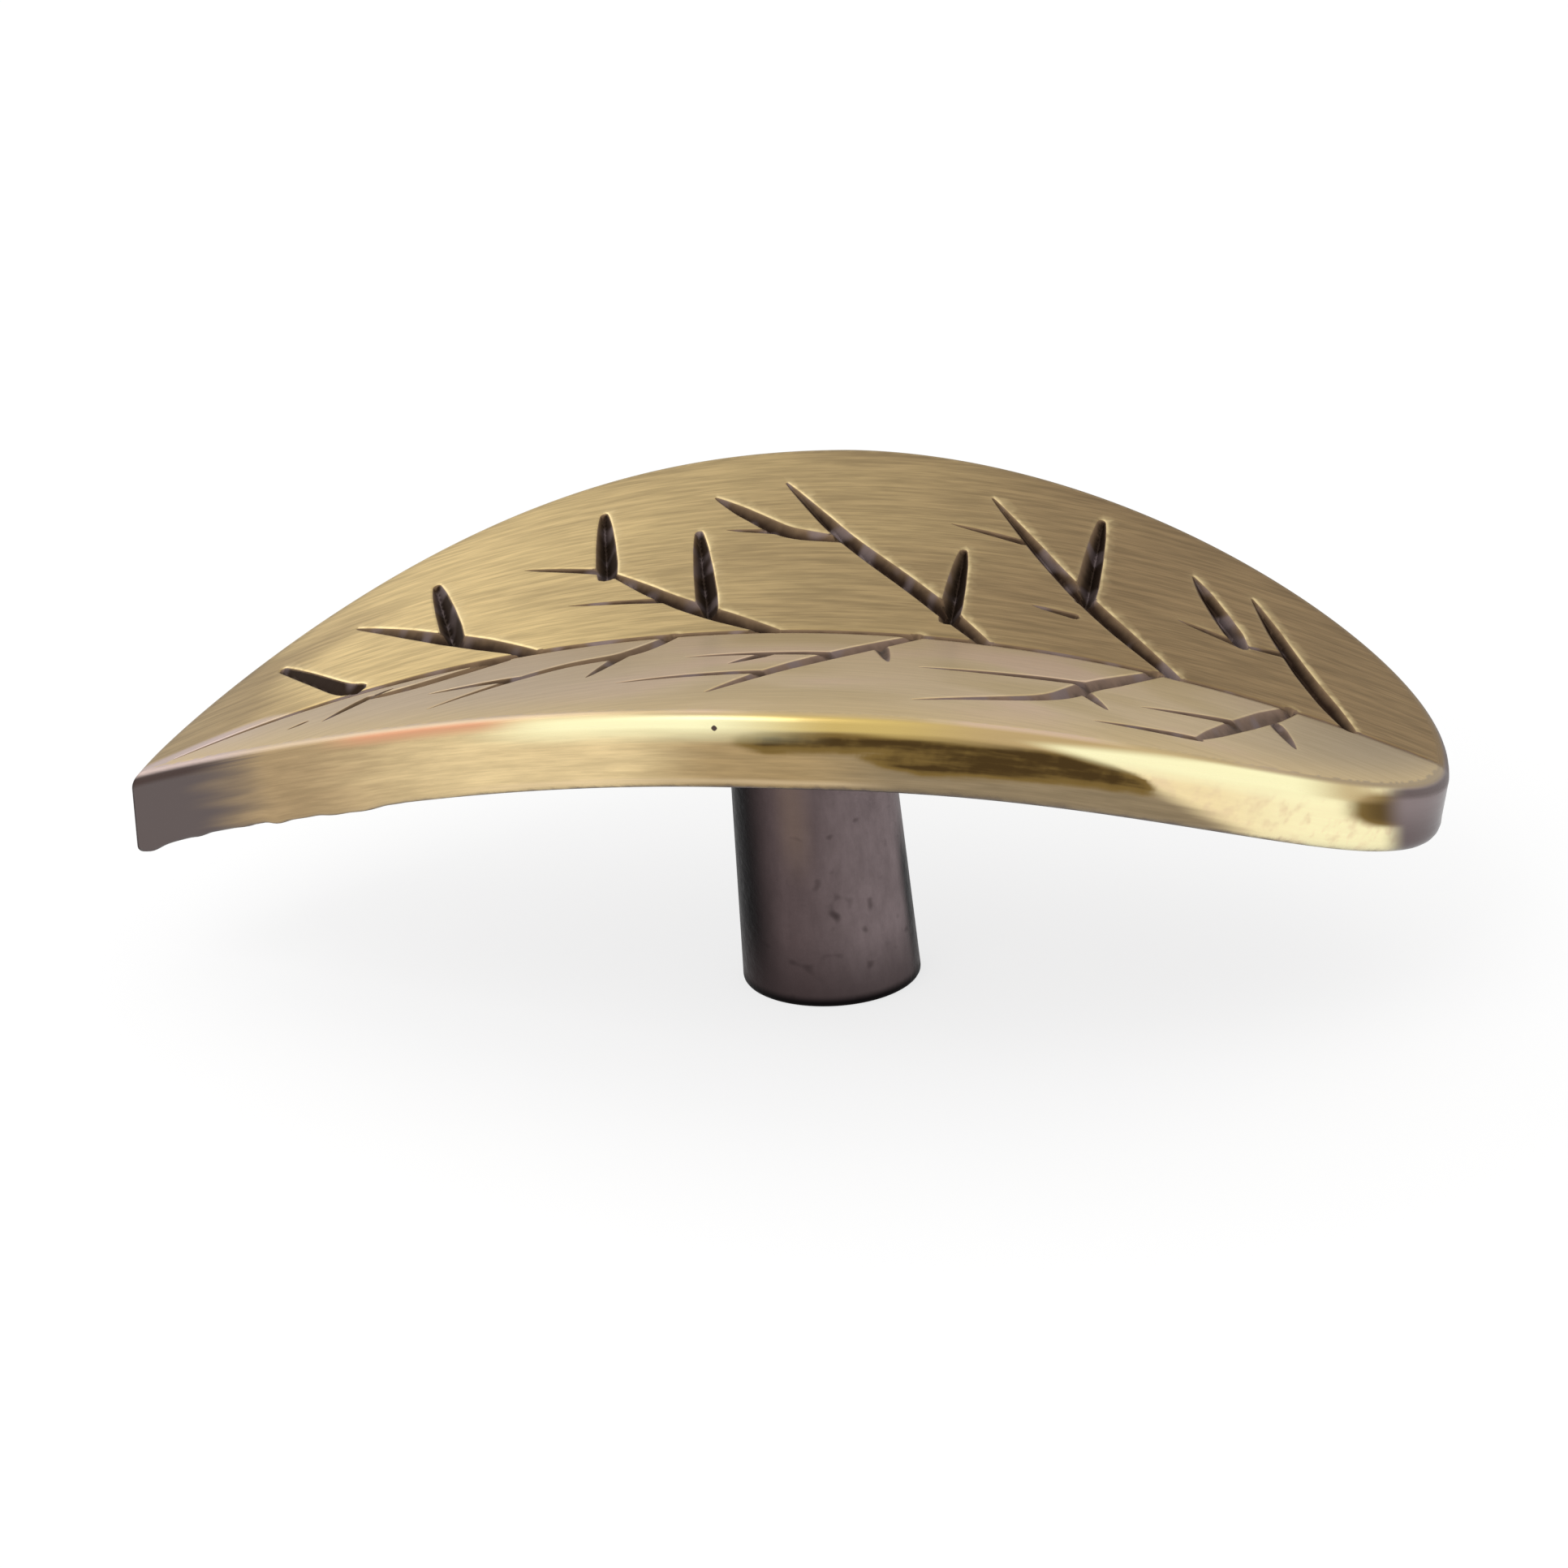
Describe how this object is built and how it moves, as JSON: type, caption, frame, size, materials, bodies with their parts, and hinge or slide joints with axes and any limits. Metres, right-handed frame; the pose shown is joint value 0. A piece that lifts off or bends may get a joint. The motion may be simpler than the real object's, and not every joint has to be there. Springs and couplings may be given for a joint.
{
  "type": "leaf shaped pull",
  "caption": "Arched leaf on a round post: a cabinet or drawer pull, folded along its midrib, carved with veins and fixed by a screw from behind.",
  "frame": {"origin": "middle of the leaf's length and width, on the plane of the post's base face", "axes": "+X along the midrib from the tip to the stalk end, +Y across the leaf, +Z out from the drawer front"},
  "size_m": [0.09, 0.0514, 0.0291],
  "materials": {
    "antique_brass": "brushed antique brass, rubbed bright along the edge, dark in the carving and on the post"
  },
  "bodies": {
    "root": {"leaf_pull": "antique_brass"}
  },
  "joints": []
}
